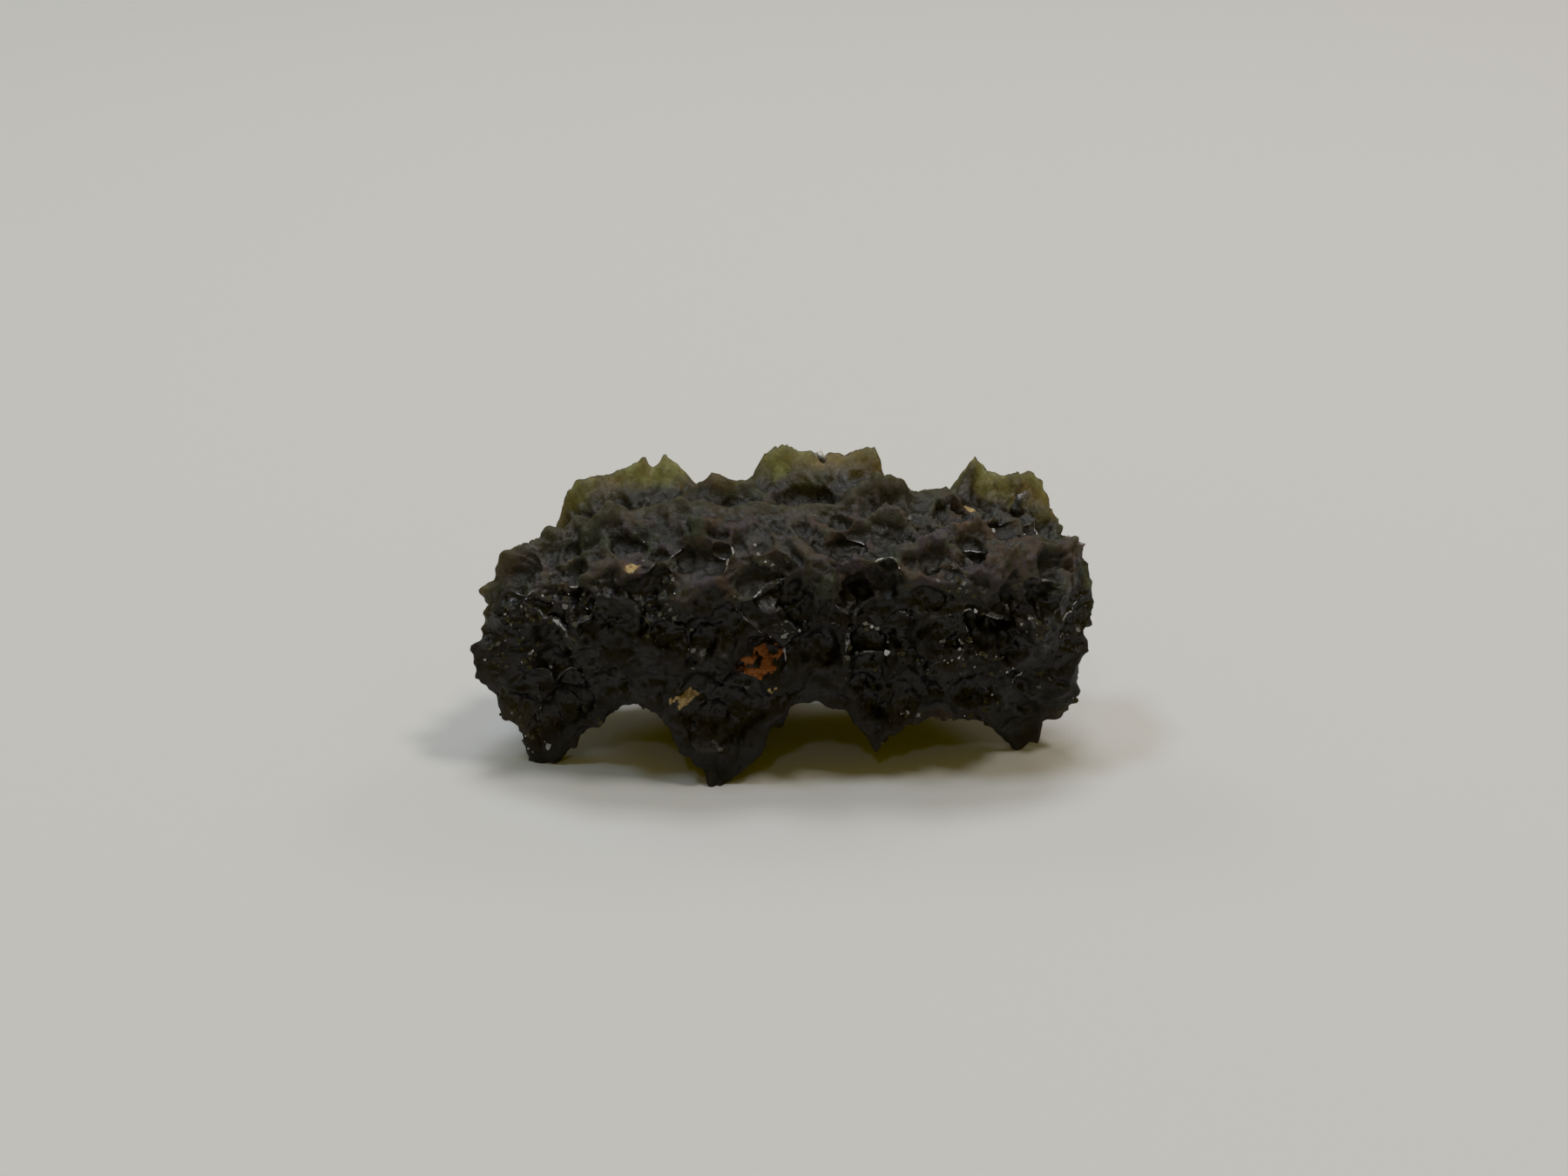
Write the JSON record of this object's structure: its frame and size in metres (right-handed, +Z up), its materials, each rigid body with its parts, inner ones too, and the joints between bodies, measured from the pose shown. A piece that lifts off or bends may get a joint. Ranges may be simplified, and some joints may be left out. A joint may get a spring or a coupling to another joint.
{
  "type": "moldavite stone",
  "caption": "Elongated piece of natural olive-green tektite glass, deeply etched into sharp ridges, scoops, thin fins and worn feet.",
  "frame": {"origin": "centre of the outer box's bottom, on the table that the stone rests on", "axes": "+X along the stone to its right end as it is seen from the front, +Y to its back, +Z up"},
  "size_m": [0.0356, 0.0126, 0.0166],
  "materials": {
    "glass": "etched, from frosted to glossy"
  },
  "bodies": {
    "root": {"moldavite": "glass"}
  },
  "joints": []
}
